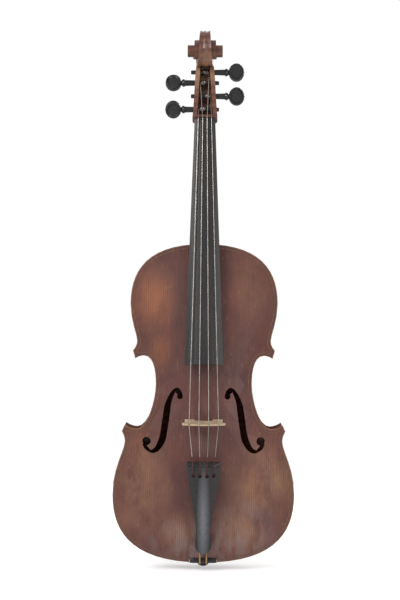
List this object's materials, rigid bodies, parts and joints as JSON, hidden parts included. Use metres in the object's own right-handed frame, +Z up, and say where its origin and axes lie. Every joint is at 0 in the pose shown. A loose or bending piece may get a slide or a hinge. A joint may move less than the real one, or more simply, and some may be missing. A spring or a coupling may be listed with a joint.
{
  "type": "viola",
  "caption": "Carved viola with arched plates, ribs, scroll, tuning pegs that turn with their string windings, bridge, tailpiece and end button.",
  "frame": {"origin": "the hanging point inside the pegbox's back, 20 mm under the scroll's eyes", "axes": "+Z runs up the body to the scroll, the strings face -Y, +X is the treble side"},
  "size_m": [0.2316, 0.1083, 0.6891],
  "materials": {
    "bare_wood": "bare",
    "belly_varnish": "varnished spruce",
    "bridge_maple": "bare maple",
    "ebony": "polished",
    "maple_varnish": "varnished maple",
    "string_metal": "wound metal",
    "tailgut": "cord"
  },
  "bodies": {
    "instrument": {"back_plate": "maple_varnish", "bass_bar": "bare_wood", "belly": "belly_varnish", "bottom_block": "bare_wood", "bridge": "bridge_maple", "centre_lining_back_bass": "bare_wood", "centre_lining_back_treble": "bare_wood", "centre_lining_belly_bass": "bare_wood", "centre_lining_belly_treble": "bare_wood", "centre_rib_bass": "maple_varnish", "centre_rib_treble": "maple_varnish", "end_button": "ebony", "fingerboard": "ebony", "lower_corner_block_bass": "bare_wood", "lower_corner_block_treble": "bare_wood", "lower_lining_back_bass": "bare_wood", "lower_lining_back_treble": "bare_wood", "lower_lining_belly_bass": "bare_wood", "lower_lining_belly_treble": "bare_wood", "lower_rib_bass": "maple_varnish", "lower_rib_treble": "maple_varnish", "neck": "maple_varnish", "nut": "ebony", "saddle": "ebony", "sound_post": "bare_wood", "string_a": "string_metal", "string_c": "string_metal", "string_d": "string_metal", "string_g": "string_metal", "tailgut": "tailgut", "tailpiece": "ebony", "tailpiece_fret": "ebony", "top_block": "bare_wood", "upper_corner_block_bass": "bare_wood", "upper_corner_block_treble": "bare_wood", "upper_lining_back_bass": "bare_wood", "upper_lining_back_treble": "bare_wood", "upper_lining_belly_bass": "bare_wood", "upper_lining_belly_treble": "bare_wood", "upper_rib_bass": "maple_varnish", "upper_rib_treble": "maple_varnish"},
    "peg_c": {"peg_c": "ebony", "winding_c": "string_metal"},
    "peg_a": {"peg_a": "ebony", "winding_a": "string_metal"},
    "peg_g": {"peg_g": "ebony", "winding_g": "string_metal"},
    "peg_d": {"peg_d": "ebony", "winding_d": "string_metal"}
  },
  "joints": [
    {"name": "peg_c_turn", "type": "hinge", "parent": "instrument", "child": "peg_c", "pos_m": [0, -0.0166, -0.055], "axis": [1, 0, 0], "continuous": true},
    {"name": "peg_a_turn", "type": "hinge", "parent": "instrument", "child": "peg_a", "pos_m": [0, -0.01238, -0.0373], "axis": [1, 0, 0], "continuous": true},
    {"name": "peg_g_turn", "type": "hinge", "parent": "instrument", "child": "peg_g", "pos_m": [0, -0.00791, -0.0195], "axis": [1, 0, 0], "continuous": true},
    {"name": "peg_d_turn", "type": "hinge", "parent": "instrument", "child": "peg_d", "pos_m": [0, -0.00428, -0.0052], "axis": [1, 0, 0], "continuous": true}
  ]
}
